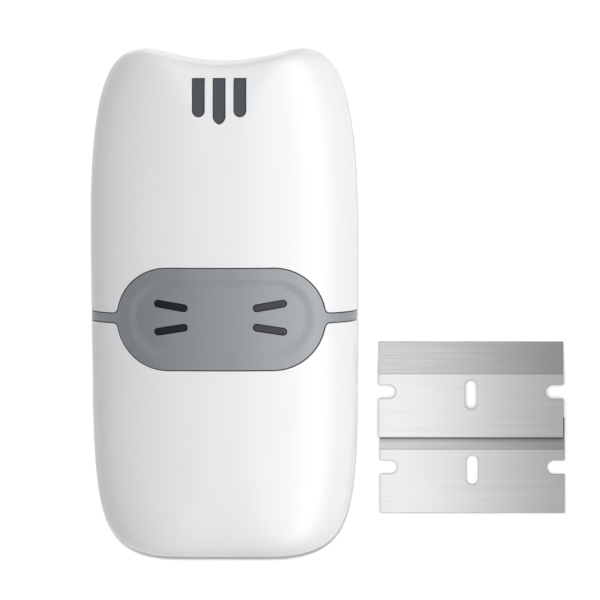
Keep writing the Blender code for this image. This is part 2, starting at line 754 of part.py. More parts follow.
def main():
    clear_scene()
    skin = add_object("skin_tool", body_solid(0))
    hollow = add_object("hollow_tool", body_solid(SHELL_WALL))
    core_skin = add_object("core_skin_tool", body_solid(CORE_INSET))
    band_cut = band_block("band_cut", SEAM_GAP)
    make_head_shell(hollow, band_cut)
    make_foot_cap(hollow, band_cut)
    make_grip_band(skin, hollow)
    make_inlay("forehead_inlay", bar_outlines(0), SEAT_GAP, BAR_RECESS, core_skin)
    dash_face = DISH_DEPTH + DASH_RECESS
    for side, word in ((-1, "left"), (1, "right")):
        make_inlay(f"whisker_inlay_{word}", dash_outlines(side, 0), INLAY_BORDER, dash_face, core_skin)
    bore = collar_hollow()
    make_core_rear(core_skin, bore)
    make_core_front(core_skin, bore)
    make_screws()
    make_blades()
    make_blade_clamp()
    make_hinge_pin()


main()
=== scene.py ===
# %% [markdown]
# A small hand scraper lies on a white table, with two of its spare blades beside it. Its body is
# moulded in glossy white plastic with two ears, a soft grey band runs round its waist, and the
# foot is a cap over the blade.
#
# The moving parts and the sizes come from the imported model, which is loaded first and stays as it
# is. Every piece made below rides on one of its bodies, so the scraper still opens and closes.

# %% Load the frame
import math

import bmesh
import bpy
from mathutils import Matrix, Vector
from mathutils.bvhtree import BVHTree
from mathutils.geometry import interpolate_bezier


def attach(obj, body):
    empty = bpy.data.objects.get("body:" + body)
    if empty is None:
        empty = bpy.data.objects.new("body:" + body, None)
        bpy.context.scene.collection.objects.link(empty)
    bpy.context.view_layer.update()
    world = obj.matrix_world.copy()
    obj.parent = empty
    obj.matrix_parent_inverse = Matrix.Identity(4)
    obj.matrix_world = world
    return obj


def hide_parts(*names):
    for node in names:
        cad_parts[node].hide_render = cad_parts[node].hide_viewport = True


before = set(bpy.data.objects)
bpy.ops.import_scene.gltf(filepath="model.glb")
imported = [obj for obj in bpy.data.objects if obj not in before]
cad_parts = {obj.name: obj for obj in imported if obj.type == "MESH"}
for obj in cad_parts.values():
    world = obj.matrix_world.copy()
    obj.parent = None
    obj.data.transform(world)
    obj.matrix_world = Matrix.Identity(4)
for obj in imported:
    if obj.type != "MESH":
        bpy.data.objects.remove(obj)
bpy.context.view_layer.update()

# %% [markdown]
# Most shapes here are stacks of rings: a loop of edges is drawn once, and each further ring is
# extruded from the last and its corners are moved to their places. Each corner carries its own
# number along the loop, which an extrusion copies, so a new corner always knows where it goes.
# Lofting by hand-written faces would give the same mesh, but an extrusion keeps track of the
# faces by itself.

# %% Rings and stacks
OVERRUN = 0.0020


def first_loop(mesh, points):
    """A loop of edges through these points. Each corner is numbered."""
    order = mesh.verts.layers.int.new("order")
    corners = [mesh.verts.new(point) for point in points]
    for number, corner in enumerate(corners):
        corner[order] = number
    return [mesh.edges.new(pair) for pair in zip(corners, corners[1:] + corners[:1])]


def next_loop(mesh, edges, points):
    """Extrudes the loop once and moves its new corners to these points."""
    made = bmesh.ops.extrude_edge_only(mesh, edges=edges)["geom"]
    order = mesh.verts.layers.int["order"]
    for corner in made:
        if isinstance(corner, bmesh.types.BMVert):
            corner.co = points[corner[order]]
    return [part for part in made if isinstance(part, bmesh.types.BMEdge)]


def outward(mesh):
    bmesh.ops.recalc_face_normals(mesh, faces=mesh.faces[:])
    return mesh


def stack(rings):
    """A closed solid through these rings, with a face over each end."""
    mesh = bmesh.new()
    edges = first_loop(mesh, rings[0])
    bmesh.ops.contextual_create(mesh, geom=edges)
    for ring in rings[1:]:
        edges = next_loop(mesh, edges, ring)
    bmesh.ops.contextual_create(mesh, geom=edges)
    return outward(mesh)


def hoop(rings):
    """A closed ring-shaped solid: the last ring is bridged back to the first."""
    mesh = bmesh.new()
    start = first_loop(mesh, rings[0])
    edges = start
    for ring in rings[1:]:
        edges = next_loop(mesh, edges, ring)
    bmesh.ops.bridge_loops(mesh, edges=start + edges)
    return outward(mesh)


def line(start, end, steps):
    """Points from start up to, but without, end."""
    shares = [step / steps for step in range(steps)]
    return [(start[0] + (end[0] - start[0]) * s, start[1] + (end[1] - start[1]) * s) for s in shares]


def arc(centre, radius, start, end, steps):
    angles = [start + (end - start) * step / steps for step in range(steps + 1)]
    return [(centre[0] + radius * math.cos(a), centre[1] + radius * math.sin(a)) for a in angles]


# %% [markdown]
# Booleans do the cutting: a slot, a seam or a pocket is a tool of its own, and it is taken from
# the body as a mould maker would. The modifier is applied at once and the tool is deleted, so
# what is left is one plain mesh. The manifold solver is quick, and every mesh here is closed.
#
# A finished piece is shaded smooth with sharp edges kept. Its normals are weighted by the size of
# the faces, so a large flat face stays flat next to its small bevels.

# %% Solids and cuts
SHARP_ANGLE = math.radians(28)


def solid(name, mesh):
    """An object with this mesh at the origin."""
    data = bpy.data.meshes.new(name)
    mesh.to_mesh(data)
    mesh.free()
    made = bpy.data.objects.new(name, data)
    bpy.context.scene.collection.objects.link(made)
    return made


def cut(target, operation, *tools, keep=False):
    """Applies one Boolean for each tool, and deletes the tools unless they are kept."""
    for tool in tools:
        modifier = target.modifiers.new(operation, "BOOLEAN")
        modifier.operation = operation
        modifier.solver = "MANIFOLD"
        modifier.object = tool
        graph = bpy.context.evaluated_depsgraph_get()
        result = bpy.data.meshes.new_from_object(target.evaluated_get(graph))
        result.materials.clear()
        target.modifiers.clear()
        target.data = result
        if not keep:
            bpy.data.objects.remove(tool)
    return target


def finish_piece(piece, body, node, slot_name, *materials, sharp_angle=SHARP_ANGLE):
    """Shades the piece, gives it its materials and sets it on its body in its CAD node's place."""
    for material in materials:
        piece.data.materials.append(material)
    piece.data.shade_smooth()
    piece.data.set_sharp_from_angle(angle=sharp_angle)
    weighted = piece.modifiers.new("weighted_normals", "WEIGHTED_NORMAL")
    weighted.keep_sharp = True
    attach(piece, body)
    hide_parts(node)
    print(piece.name, "has", len(piece.data.polygons), "faces")
    return piece


# %% [markdown]
# The body is a flattened pillow. Seen from the front its outline is three curves on each side,
# for the foot corner, the flank and the shoulder up to the ear. Towards the front and the back
# the outline shrinks as a superellipse does, faster across than along, which gives the full,
# soft section that moulded handles have. The dip between the ears fills up towards the front, so
# the forehead stays smooth. A subdivided cage could come close, but a formula holds the same
# shape for every wall: the outside, the inside and the core are the same body moved in.

# %% The body's form
BODY_MARGIN = 0.00835
BLADE_WIDTH = 0.0385
BODY_LENGTH = 0.1046
EAR_SPACING = 0.0334
DIP_DEPTH = 0.0027
DIP_POWER = 1.5
FOOT_EDGE_WIDTH = 0.0192
FOOT_TAPER = 0.0002
CORNER_TOP = -0.0150
SHOULDER = 0.0146
FOOT_CROWN = 0.0003
CORNER_SHARES = (0.86, 0.89)
SIDE_SHARES = (0.33, 0.33)
EAR_SHARES = (0.86, 0.55)
BODY_DEPTH = 0.0240
WIDEST_HEIGHT = 0.0105
BACK_CROWN = 0.0010
ACROSS_POWER = 2.4
ALONG_POWER = 6.8
SHELL_WALL = 0.0020
SPAN_STEPS = (26, 34, 30, 24)
LEVEL_STEP = math.radians(3)
BACK_LEVELS = 22
FRONT_LEVELS = 29
LAST_LEVEL = math.radians(89.3)

HALF_WIDTH = BLADE_WIDTH / 2 + BODY_MARGIN
HALF_LENGTH = BODY_LENGTH / 2


def span(start, end, corner, shares, steps):
    """Curve from start up to end whose two handles point at the corner."""
    first = Vector(start).lerp(Vector(corner), shares[0])
    second = Vector(end).lerp(Vector(corner), shares[1])
    points = interpolate_bezier(Vector(start), first, second, Vector(end), steps + 1)
    return [(point.x, point.y) for point in points[:-1]]


def body_outline(inset):
    """The outline without its dip, moved in by inset, anticlockwise from the middle of the foot."""
    side = HALF_WIDTH - inset
    low_side = side - FOOT_TAPER
    foot = inset - HALF_LENGTH - FOOT_CROWN
    top = HALF_LENGTH - inset
    foot_edge = (FOOT_EDGE_WIDTH / 2, foot)
    corner_top = (low_side, CORNER_TOP)
    shoulder = (side, SHOULDER)
    ear = (EAR_SPACING / 2, top)
    half = [(0.0, foot)]
    half += span(foot_edge, corner_top, (low_side, foot), CORNER_SHARES, SPAN_STEPS[0])
    half += span(corner_top, shoulder, (side, (CORNER_TOP + SHOULDER) / 2), SIDE_SHARES, SPAN_STEPS[1])
    half += span(shoulder, ear, (side, top), EAR_SHARES, SPAN_STEPS[2])
    half += line(ear, (0, top), SPAN_STEPS[3])
    return half + [(0, top)] + [(-x, y) for x, y in reversed(half[1:])]


def shrink(angle):
    """Rise towards the front or back at this angle, and what is left across and along."""
    rise = math.sin(abs(angle)) ** (2 / ACROSS_POWER)
    across = (1 - rise**ACROSS_POWER) ** (1 / ACROSS_POWER)
    along = (1 - rise**ALONG_POWER) ** (1 / ALONG_POWER)
    return rise, across, along


def dipped(x, y, along):
    """The place along the body of an outline's point, once its ring has shrunk and dipped."""
    off = abs(x) / (EAR_SPACING / 2)
    if y < 0 or off >= 1:
        return y * along
    depth = DIP_DEPTH * (1 - off * off) ** DIP_POWER
    shrunk = HALF_LENGTH * (1 - along)
    return y * along - depth * max(1 - shrunk / (2 * depth), 0) ** 2


def level_height(rise, angle, inset):
    if angle > 0:
        return WIDEST_HEIGHT + (BODY_DEPTH - WIDEST_HEIGHT - inset) * rise
    return WIDEST_HEIGHT - (WIDEST_HEIGHT + BACK_CROWN - inset) * rise


LEVEL_ANGLES = [LEVEL_STEP * level for level in range(-BACK_LEVELS, FRONT_LEVELS + 1)] + [LAST_LEVEL]


def keep_side(mesh, point, direction):
    """Cuts a mesh on a plane, keeps what lies in this direction and closes the cut."""
    everything = mesh.verts[:] + mesh.edges[:] + mesh.faces[:]
    made = bmesh.ops.bisect_plane(
        mesh, geom=everything, plane_co=point, plane_no=direction, clear_inner=True
    )["geom_cut"]
    bmesh.ops.contextual_create(mesh, geom=[part for part in made if isinstance(part, bmesh.types.BMEdge)])


def body_form(inset):
    """The whole body moved in by inset, with its back and its foot flat."""
    outline = body_outline(inset)
    rings = []
    for angle in LEVEL_ANGLES:
        rise, across, along = shrink(angle)
        height = level_height(rise, angle, inset)
        rings.append([(x * across, dipped(x * across, y, along), height) for x, y in outline])
    mesh = stack(rings)
    keep_side(mesh, (0, 0, inset), (0, 0, 1))
    keep_side(mesh, (0, inset - HALF_LENGTH, 0), (0, 1, 0))
    return outward(mesh)


skin_tree = BVHTree.FromBMesh(body_form(0))


def front_height(x, y):
    """Height of the body's front above this place."""
    hit = skin_tree.ray_cast(Vector((x, y, BODY_DEPTH + OVERRUN)), Vector((0, 0, -1)))[0]
    return hit.z if hit else WIDEST_HEIGHT


print("front height at the middle, mm:", round(front_height(0, 0) * 1000, 2))

# %% [markdown]
# A moulded edge is never a knife edge. Where a seam or a slot meets the skin, its tool flares out
# along a small round, so that the edge it leaves catches a thin line of light. The same profile
# turned the other way rounds the grey band's own edges. The round stops a little short of
# tangent, because two nearly parallel surfaces make a ragged cut.

# %% Rounded edges for seams and slots
ROUND_STEPS = 4
ROUND_STOP = math.radians(60)
FLARE_SHARE = 0.6


def edge_profile(edge):
    """Steps of a rounded edge, as (sideways, depth under the skin), from deep to just above it."""
    angles = [ROUND_STOP * step / ROUND_STEPS for step in range(ROUND_STEPS + 1)]
    profile = [(edge * (1 - math.cos(a)), edge * (1 - math.sin(a))) for a in angles]
    side, depth = profile[-1]
    run = edge * FLARE_SHARE
    profile.append((side + run * math.sin(ROUND_STOP), depth - run * math.cos(ROUND_STOP)))
    return profile


def skin_block(name, outline, low, grow, edge, sense, drop=0.0):
    """A block from low up through the front. Its rim flares out (sense 1) or draws in (sense -1)."""
    rings = [[(x, y, low) for x, y in outline(grow)]]
    for side, depth in edge_profile(edge):
        points = outline(grow + sense * side)
        rings.append([(x, y, front_height(x, y) - drop - depth) for x, y in points])
    rings.append([(x, y, BODY_DEPTH + OVERRUN) for x, y in outline(grow + sense * side)])
    return solid(name, stack(rings))


# %% [markdown]
# The band's strip goes all the way round the waist. Its tool is a hoop: rings that follow the
# body's section at the waist, one for each point of the profile, so the groove has the same depth
# and the same rounded edges on the front, the flanks and the back.

# %% The waist's hoop
BAND_MIDDLE = -0.0027
STRIP_HEIGHT = 0.0018
SEAM_GAP = 0.00020
SHELL_EDGE = 0.00013
HOOP_OUTSIDE = 0.0008
QUARTER = math.pi / 2
HOOP_LEVELS = 30
HOOP_ANGLES = [LEVEL_STEP * level for level in range(-HOOP_LEVELS, HOOP_LEVELS + 1)]


def waist_ring(y, inset, angles=HOOP_ANGLES):
    """The body's section at this place near the waist, moved in by inset. Angles run from back to front."""
    half = HALF_WIDTH - FOOT_TAPER * (SHOULDER - y) / (SHOULDER - CORNER_TOP) - inset
    right = []
    for angle in angles:
        rise, across, _ = shrink(angle)
        right.append((half * across, y, max(level_height(rise, angle, inset), inset)))
    return right + [(-x, y, z) for x, y, z in reversed(right[1:-1])]


def waist_hoop(name, half, edge, sense):
    """A hoop round the waist, with its rims flared (sense 1) or rounded in (sense -1)."""
    profile = [(half, SHELL_WALL + OVERRUN)]
    profile += [(half + sense * side, depth) for side, depth in edge_profile(edge)]
    profile.append((profile[-1][0], -HOOP_OUTSIDE))
    profile += [(-offset, inset) for offset, inset in reversed(profile)]
    return solid(name, hoop([waist_ring(BAND_MIDDLE + offset, inset) for offset, inset in profile]))


# %% [markdown]
# On the front the strip opens into a pad with round ends. The fillets where they meet come from
# the geometry: a fillet's centre lies a pad radius and a fillet radius from the pad end's centre.

# %% The pad's outline
PAD_WIDTH = 0.0429
PAD_HEIGHT = 0.0209
PAD_FILLET = 0.0012
PAD_STRIP_REACH = 0.0245
PAD_STEPS = (4, 8, 26, 14)


def pad_outline(grow):
    """The pad and the roots of its two strips, grown by this much."""
    strip = STRIP_HEIGHT / 2 + grow
    radius = PAD_HEIGHT / 2 + grow
    fillet = PAD_FILLET - grow
    middle = (PAD_WIDTH - PAD_HEIGHT) / 2
    fillet_x = middle + math.sqrt((radius + fillet) ** 2 - (strip + fillet) ** 2)
    lean = math.atan2(strip + fillet, fillet_x - middle)
    corner = line((PAD_STRIP_REACH, strip), (fillet_x, strip), PAD_STEPS[0])
    corner += arc((fillet_x, strip + fillet), fillet, -QUARTER, lean - math.pi, PAD_STEPS[1])
    corner += arc((middle, 0), radius, lean, QUARTER, PAD_STEPS[2])[1:-1]
    corner += line((middle, radius), (0, radius), PAD_STEPS[3])
    upper = corner + [(0, radius)] + [(-x, y) for x, y in reversed(corner)]
    return [(x, y + BAND_MIDDLE) for x, y in upper + [(-x, -y) for x, y in upper]]


# %% [markdown]
# Three bars stand in the forehead and two pairs of dashes in the pad. Each is a slot in the skin
# with a charcoal piece behind it that comes up to just under the surface.

# %% Bars and dashes
BAR_WIDTH = 0.00243
BAR_PITCH = 0.00427
BAR_DROP = 0.0055
BAR_LENGTH = 0.0078
MIDDLE_BAR_EXTRA = 0.0012
MIDDLE_TIP = 0.0003
BAR_TOP = HALF_LENGTH - BAR_DROP
BAR_ARC_STEPS = 16
BAR_SIDE_STEPS = 10
DASH_WIDTH = 0.0014
DASH_INNER = (0.0075, 0.0020)
DASH_OUTER = (0.0129, 0.0029)
DASH_LIFT = 0.0003
DASH_STEPS = 12


def bar_outline(place):
    """Outline function of one bar: square at the top, round below, and the middle one pointed."""
    length = BAR_LENGTH + (0 if place else MIDDLE_BAR_EXTRA)
    across = place * BAR_PITCH
    turn = BAR_TOP - length + BAR_WIDTH / 2
    point = 0 if place else MIDDLE_TIP

    def outline(grow):
        half = BAR_WIDTH / 2 + grow
        top = BAR_TOP + grow
        end = arc((across, turn), half, math.pi, 2 * math.pi, BAR_ARC_STEPS)
        end = [(x, y - point * (1 - abs(x - across) / half)) for x, y in end]
        right = line((across + half, turn), (across + half, top), BAR_SIDE_STEPS)[1:]
        left = line((across - half, top), (across - half, turn), BAR_SIDE_STEPS)
        return end + right + [(across + half, top)] + left

    return outline


def dash_outline(side, flip):
    """Outline function of one dash of the pad."""
    middle = BAND_MIDDLE + DASH_LIFT
    first, second = sorted((side * x, middle + flip * y) for x, y in (DASH_INNER, DASH_OUTER))
    along = math.atan2(second[1] - first[1], second[0] - first[0])

    def outline(grow):
        radius = DASH_WIDTH / 2 + grow
        far = arc(second, radius, along - QUARTER, along + QUARTER, DASH_STEPS)
        near = arc(first, radius, along + QUARTER, along + 3 * QUARTER, DASH_STEPS)
        upper = line(far[-1], near[0], DASH_STEPS)[1:]
        lower = line(near[-1], far[0], DASH_STEPS)[1:]
        return far + upper + near + lower

    return outline


# %% [markdown]
# The two white shells are cut from one hollow body, so their surfaces run on across the seam. The
# waist's hoop and the pad's block part it in two, and the bars' slots go through the forehead.

# %% Head shell and foot cap, uncoloured
SLOT_GAP = 0.0001
SLOT_EDGE = 0.00012


def seam_tools(grow, edge, sense):
    """What the grey band takes from the body, or keeps of it: the hoop and the pad's block."""
    block = skin_block("pad_block", pad_outline, WIDEST_HEIGHT, grow, edge, sense)
    return waist_hoop("waist", STRIP_HEIGHT / 2 + grow, edge, sense), block


def half_of(whole, name, upper):
    """A copy of the parted body with only the half above or below the waist."""
    mesh = bmesh.new()
    mesh.from_mesh(whole.data)
    other = [corner for corner in mesh.verts if (corner.co.y > BAND_MIDDLE) != upper]
    bmesh.ops.delete(mesh, geom=other, context="VERTS")
    return solid(name, mesh)


body = solid("hollow_body", body_form(0))
hollow = solid("hollow", body_form(SHELL_WALL))
cut(body, "DIFFERENCE", hollow, keep=True)
cut(body, "DIFFERENCE", *seam_tools(SEAM_GAP, SHELL_EDGE, 1))
for place in (-1, 0, 1):
    slot = skin_block("bar_slot", bar_outline(place), WIDEST_HEIGHT, SLOT_GAP, SLOT_EDGE, 1)
    cut(body, "DIFFERENCE", slot)
head_shell = half_of(body, "head_shell_skin", True)
foot_cap = half_of(body, "foot_cap_skin", False)
bpy.data.objects.remove(body)
print("head", len(head_shell.data.polygons), "foot", len(foot_cap.data.polygons))

# %% [markdown]
# The grey band is soft-touch plastic over the collar, and its pad has a shallow dish for the
# thumb. A dish with sloped walls could be cut with a tool, but its floor has to keep the body's
# curve. So the band starts as a loft of the waist's sections, with close rows across the front,
# and the corners sink by a smooth step of their distance from the pad's rim. The dish's walls are
# shorter on the side of the head than towards the foot.

# %% The grip band
PAD_SIDE_RIM = 0.0018
DISH_DEPTH = 0.00042
DISH_SLOPES = (0.0028, 0.0022)
BAND_REACH = 0.0125
BAND_ROWS = 100
CREST_STEPS = 76
CREST_ANGLE = math.radians(40)
BAND_EDGE = 0.00013
DASH_EDGE = 0.0001
GREY_SINK = 0.00003


def crest_angles():
    """The hoop's angles on the back and flanks, and then rows that lie evenly across the front."""
    angles = [angle for angle in HOOP_ANGLES if angle < CREST_ANGLE]
    widest = shrink(CREST_ANGLE)[1]
    for step in range(CREST_STEPS):
        across = widest * (1 - step / CREST_STEPS)
        rise = (1 - across**ACROSS_POWER) ** (1 / ACROSS_POWER)
        angles.append(math.asin(rise ** (ACROSS_POWER / 2)))
    return angles + [QUARTER]


def dish_sink(x, y):
    """How far the dish lies below the skin at this place of the pad."""
    radius = PAD_HEIGHT / 2
    middle = (PAD_WIDTH - PAD_HEIGHT) / 2
    off = Vector((max(abs(x) - middle, 0), y - BAND_MIDDLE))
    headward = 0.5 + 0.5 * off.y / max(off.length, GREY_SINK)
    slope = DISH_SLOPES[0] + (DISH_SLOPES[1] - DISH_SLOPES[0]) * headward
    share = min(max((radius - PAD_SIDE_RIM - off.length) / slope, 0), 1)
    return DISH_DEPTH * share * share * (3 - 2 * share)


def dished_form():
    """The waist a touch under the shells' skin, with the dish sunk into its front."""
    angles = crest_angles()
    rings = []
    for row in range(BAND_ROWS + 1):
        place = BAND_MIDDLE + BAND_REACH * (2 * row / BAND_ROWS - 1)
        section = waist_ring(place, GREY_SINK, angles)
        rings.append([(x, y, z - dish_sink(x, y) if z > WIDEST_HEIGHT else z) for x, y, z in section])
    return stack(rings)


grip_band = solid("grip_band_skin", dished_form())
waist, block = seam_tools(0, BAND_EDGE, -1)
cut(waist, "UNION", block)
cut(grip_band, "INTERSECT", waist)
cut(grip_band, "DIFFERENCE", hollow, keep=True)
for side in (-1, 1):
    for flip in (-1, 1):
        outline = dash_outline(side, flip)
        slot = skin_block("dash_slot", outline, WIDEST_HEIGHT, SLOT_GAP, DASH_EDGE, 1, DISH_DEPTH)
        cut(grip_band, "DIFFERENCE", slot)
print("grip band", len(grip_band.data.polygons))

# %% [markdown]
# Behind the slots sit the charcoal inlays: a thin curved plate with raised figures, as a moulder
# would make it, so that one part fills a whole group of slots. Plate and figures are prisms cut to
# the body moved in by their own depth.

# %% The charcoal inlays
SEAT_GAP = 0.0003
CORE_INSET = SHELL_WALL + SEAT_GAP
INLAY_PLATE = 0.0010
INLAY_BORDER = 0.0018
BAR_RECESS = 0.0004
DASH_RECESS = 0.0003
FIGURE_EDGE = 0.00012
FIGURE_LOW = 0.0140


def plate_block(name, outlines, top_border):
    """A rectangular block round a group of figures."""
    places = [point for outline in outlines for point in outline(0)]
    left = min(x for x, _ in places) - INLAY_BORDER
    right = max(x for x, _ in places) + INLAY_BORDER
    low = min(y for _, y in places) - INLAY_BORDER
    high = max(y for _, y in places) + top_border
    corners = [(left, low), (right, low), (right, high), (left, high)]
    return solid(name, stack([[(x, y, z) for x, y in corners] for z in (FIGURE_LOW, BODY_DEPTH)]))


def inlay_piece(name, outlines, top_border, recess):
    """Plate behind the wall, with figures that reach up to recess below the skin."""
    plate = plate_block(name, outlines, top_border)
    cut(plate, "INTERSECT", solid("plate_skin", body_form(CORE_INSET)))
    face = solid("figure_skin", body_form(recess))
    for outline in outlines:
        figure = skin_block("figure", outline, FIGURE_LOW + OVERRUN, 0, FIGURE_EDGE, -1, recess)
        cut(plate, "UNION", cut(figure, "INTERSECT", face, keep=True))
    bpy.data.objects.remove(face)
    return cut(plate, "DIFFERENCE", solid("plate_back", body_form(CORE_INSET + INLAY_PLATE)))


bars = [bar_outline(place) for place in (-1, 0, 1)]
forehead = inlay_piece("forehead_bars", bars, SEAT_GAP, BAR_RECESS)
whiskers = {}
for side, word in ((-1, "left"), (1, "right")):
    dashes = [dash_outline(side, flip) for flip in (-1, 1)]
    whiskers[word] = inlay_piece(f"pad_dashes_{word}", dashes, INLAY_BORDER, DISH_DEPTH + DASH_RECESS)
bpy.data.objects.remove(hollow)

# %% [markdown]
# A scraper blade is thin strip steel, punched and then ground. The strip is a flat sheet with one long slot
# and two side notches for the pegs of the holder. The ground band behind the cutting edge falls away a
# little, and a fine line shows where the grinding starts. The press shears the outline and leaves its rim
# rough; that rim and the grind line get a darker steel, and the ground band's steel is darker than the
# flat's as painted reflection. An inset of the upper face makes that rim, so that each finish has faces of
# its own.
#
# The two spares lie to the right of the body, and the upper one leans on the ground band of the
# lower one. The third blade is fitted, with its cutting edge towards the foot.

# %% The blades
BLADE_LENGTH = 0.0200
BLADE_THICKNESS = 0.0003
EDGE_THICKNESS = 0.00006
EDGE_BAND = 0.0068
SLOT_WIDTH = 0.00255
SLOT_LENGTH = 0.0063
SLOT_START = 0.0079
NOTCH_HEIGHT = 0.00295
NOTCH_DEPTH = 0.0037
NOTCH_START = 0.0090
PUNCH_STEPS = 20
LEVEL_SHARE = 0.9
GRIND_LINE = 0.00012
SHEARED_EDGE = 0.00004
SHEARED_DROP = 0.00002


def blade_outline():
    """A blade from above with its cutting edge on y = 0 and its back towards -y."""
    half = BLADE_WIDTH / 2
    radius = NOTCH_HEIGHT / 2
    notch_y = -NOTCH_START - radius
    right = [(half, 0.0), (half, notch_y + radius)]
    right += arc((half - NOTCH_DEPTH + radius, notch_y), radius, QUARTER, 3 * QUARTER, PUNCH_STEPS)
    right += [(half, notch_y - radius), (half, -BLADE_LENGTH)]
    return right + [(-x, y) for x, y in reversed(right)]


def blade_sheet(name):
    """The flat blade, ground thinner towards its cutting edge."""
    mesh = stack([[(x, y, z) for x, y in blade_outline()] for z in (0, BLADE_THICKNESS)])
    for place in (-EDGE_BAND, GRIND_LINE - EDGE_BAND):
        everything = mesh.verts[:] + mesh.edges[:] + mesh.faces[:]
        bmesh.ops.bisect_plane(mesh, geom=everything, plane_co=(0, place, 0), plane_no=(0, 1, 0))
    for corner in mesh.verts:
        if corner.co.z > 0 and corner.co.y > -EDGE_BAND:
            corner.co.z -= (BLADE_THICKNESS - EDGE_THICKNESS) * (1 + corner.co.y / EDGE_BAND)
    return solid(name, mesh)


def slot_tool():
    radius = SLOT_WIDTH / 2
    first = (0, -SLOT_START - radius)
    last = (0, -SLOT_START - SLOT_LENGTH + radius)
    outline = arc(first, radius, 0, math.pi, PUNCH_STEPS)
    outline += arc(last, radius, math.pi, 2 * math.pi, PUNCH_STEPS)
    return solid("slot", stack([[(x, y, z) for x, y in outline] for z in (-OVERRUN, OVERRUN)]))


def blade_piece(name, lean, turn, place):
    """A blade at its place. Faces count 0 on the flat, 1 on the grinding, 2 on rim and grind line."""
    sheet = cut(blade_sheet(name), "DIFFERENCE", slot_tool())
    mesh = bmesh.new()
    mesh.from_mesh(sheet.data)
    upper = [face for face in mesh.faces if face.normal.z > LEVEL_SHARE]
    rim = bmesh.ops.inset_region(
        mesh, faces=upper, thickness=SHEARED_EDGE, depth=SHEARED_DROP,
        use_even_offset=True, use_boundary=True
    )
    sheared = set(rim["faces"])
    for face in mesh.faces:
        middle = face.calc_center_median().y
        grind_line = 0 < middle + EDGE_BAND < GRIND_LINE
        if face in sheared or grind_line or abs(face.normal.z) < LEVEL_SHARE:
            face.material_index = 2
        else:
            face.material_index = int(middle > -EDGE_BAND)
    move = Matrix.Translation(place) @ Matrix.Rotation(turn, 4, "Z") @ Matrix.Rotation(lean, 4, "X")
    bmesh.ops.transform(mesh, matrix=move, verts=mesh.verts[:])
    mesh.to_mesh(sheet.data)
    mesh.free()
    return sheet


SPARE_GAP = 0.00385
SPARE_ACROSS = HALF_WIDTH + SPARE_GAP + BLADE_WIDTH / 2
SPARE_UPPER_EDGE = -0.0093
SPARE_OFFSET = 0.0158
SPARE_SHIFT = 0.0002
CLOSE_GAP = 0.0001
UPPER_LEAN = -math.asin((BLADE_THICKNESS + CLOSE_GAP) / BLADE_LENGTH)
BLADE_REACH = 0.0460
BLADE_BOTTOM = 0.0071

upper_place = (SPARE_ACROSS, SPARE_UPPER_EDGE, 0)
lower_place = (SPARE_ACROSS + SPARE_SHIFT, SPARE_UPPER_EDGE - SPARE_OFFSET, 0)
blades = {
    "spare_blade_upper": blade_piece("upper_blade_ground", UPPER_LEAN, 0, upper_place),
    "spare_blade_lower": blade_piece("lower_blade_ground", 0, 0, lower_place),
    "blade": blade_piece("fitted_blade_ground", 0, math.pi, (0, -BLADE_REACH, BLADE_BOTTOM)),
}

# %% [markdown]
# Under the cap are the working parts: the core's two halves, the hinged jaw over the blade, four
# screws and the hinge pin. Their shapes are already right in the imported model, so each is copied
# and softened: its triangles are merged back into whole faces and its edges get a small bevel.

# %% The working parts
CORE_EDGE = 0.00018
STEEL_EDGE = 0.00012
MERGE = 0.000001
FLAT_ANGLE = math.radians(0.5)
BEVEL_STEPS = 2


def softened(node, name, edge):
    """A copy of a CAD node whose edges are bevelled."""
    mesh = bmesh.new()
    mesh.from_mesh(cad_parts[node].data)
    bmesh.ops.remove_doubles(mesh, verts=mesh.verts[:], dist=MERGE)
    bmesh.ops.dissolve_limit(mesh, angle_limit=FLAT_ANGLE, verts=mesh.verts[:], edges=mesh.edges[:])
    corners = [part for part in mesh.edges if part.calc_face_angle(0) > SHARP_ANGLE]
    bmesh.ops.bevel(
        mesh, geom=corners, offset=edge, segments=BEVEL_STEPS, profile=0.5, affect="EDGES",
        material=-1, clamp_overlap=True
    )
    return solid(name, mesh)


core_rear = softened("core_rear", "core_rear_soft", CORE_EDGE)
core_front = softened("core_front", "core_front_soft", CORE_EDGE)
clamp = softened("blade_clamp", "jaw_soft", CORE_EDGE)
pin = softened("clamp_hinge_pin", "pin_soft", STEEL_EDGE)
screws = {node: softened(node, f"{node}_soft", STEEL_EDGE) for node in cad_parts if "screw" in node}
print("screws:", len(screws))

# %% [markdown]
# Two effects come up in every finish. Moulded plastic has a faint waviness and a fine grain from
# the mould, which show as slightly uneven gloss and colour. Strip steel has fine brushing that
# runs one way. Each effect is a node group, built once and placed with its own scale in each
# material. Both read Object coordinates, so they stay with the piece when it moves.

# %% Node groups
MOTTLE_DETAIL = 3
GRAIN_DETAIL = 2
LINE_DETAIL = 4
STREAK_DETAIL = 2
STREAK_SHARE = 0.2
BRUSH_STRETCH = 0.02


def new_group(name, inputs, outputs):
    """An empty node group with float and vector sockets. Returns it with its two end nodes."""
    group = bpy.data.node_groups.new(name, "ShaderNodeTree")
    for label, kind, value in inputs:
        socket = group.interface.new_socket(label, in_out="INPUT", socket_type=kind)
        if value is not None:
            socket.default_value = value
    for label in outputs:
        group.interface.new_socket(label, in_out="OUTPUT", socket_type="NodeSocketFloat")
    return group, group.nodes.new("NodeGroupInput"), group.nodes.new("NodeGroupOutput")


def noise(tree, vector, scale, detail):
    """A noise texture fed by a vector socket and a scale socket. Returns its value socket."""
    texture = tree.nodes.new("ShaderNodeTexNoise")
    tree.links.new(vector, texture.inputs["Vector"])
    tree.links.new(scale, texture.inputs["Scale"])
    texture.inputs["Detail"].default_value = detail
    return texture.outputs["Fac"]


